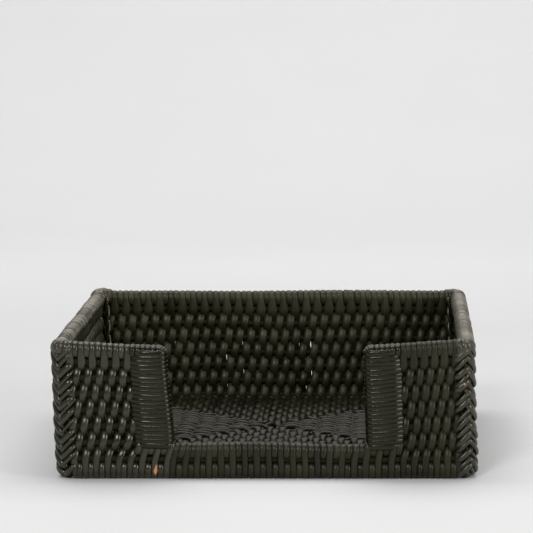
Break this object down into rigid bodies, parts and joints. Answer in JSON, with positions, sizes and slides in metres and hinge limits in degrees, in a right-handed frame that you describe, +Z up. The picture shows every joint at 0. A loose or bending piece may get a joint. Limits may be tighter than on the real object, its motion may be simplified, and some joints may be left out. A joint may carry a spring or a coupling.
{
  "type": "napkin tray",
  "caption": "Square open tray woven from dark stained rattan over bent rods, with a hand cut-out in the front wall, for a stack of folded luncheon napkins.",
  "frame": {"origin": "centre of the footprint, on the surface that the tray stands on", "axes": "+Z up, +X to the right seen from the front, the wall with the cut-out faces -Y"},
  "size_m": [0.203, 0.203, 0.0665],
  "materials": {
    "wall_strands": "black-brown stained rattan, semi-gloss clear lacquer",
    "corner_strands": "black-brown stained rattan, semi-gloss clear lacquer, worn along the edge",
    "binding_strands": "black-brown stained rattan, semi-gloss clear lacquer",
    "floor_strands": "black-brown stained rattan, semi-gloss clear lacquer",
    "wall_rods": "black-brown stained rattan core, satin",
    "floor_rods": "black-brown stained rattan core, satin"
  },
  "bodies": {
    "root": {"foot_rod": "wall_rods", "wall_rod_1": "wall_rods", "wall_rod_2": "wall_rods", "wall_rod_3": "wall_rods", "wall_rod_4": "wall_rods", "wall_rod_5": "wall_rods", "wall_rod_6": "wall_rods", "wall_rod_7": "wall_rods", "rim_rod": "wall_rods", "lip_rod": "wall_rods", "jamb_post_left": "wall_rods", "jamb_post_right": "wall_rods", "floor_rod_1": "floor_rods", "floor_rod_2": "floor_rods", "floor_rod_3": "floor_rods", "floor_rod_4": "floor_rods", "floor_rod_5": "floor_rods", "floor_rod_6": "floor_rods", "floor_rod_7": "floor_rods", "floor_rod_8": "floor_rods", "floor_rod_9": "floor_rods", "floor_rod_10": "floor_rods", "back_wall_weave": "wall_strands", "left_wall_weave": "wall_strands", "right_wall_weave": "wall_strands", "front_left_wall_weave": "wall_strands", "front_right_wall_weave": "wall_strands", "lip_weave": "wall_strands", "jamb_binding_left": "binding_strands", "jamb_binding_right": "binding_strands", "front_left_corner_braid": "corner_strands", "front_right_corner_braid": "corner_strands", "back_left_corner_braid": "corner_strands", "back_right_corner_braid": "corner_strands", "floor_weave_front": "floor_strands", "floor_weave_right": "floor_strands", "floor_weave_back": "floor_strands", "floor_weave_left": "floor_strands"}
  },
  "joints": []
}
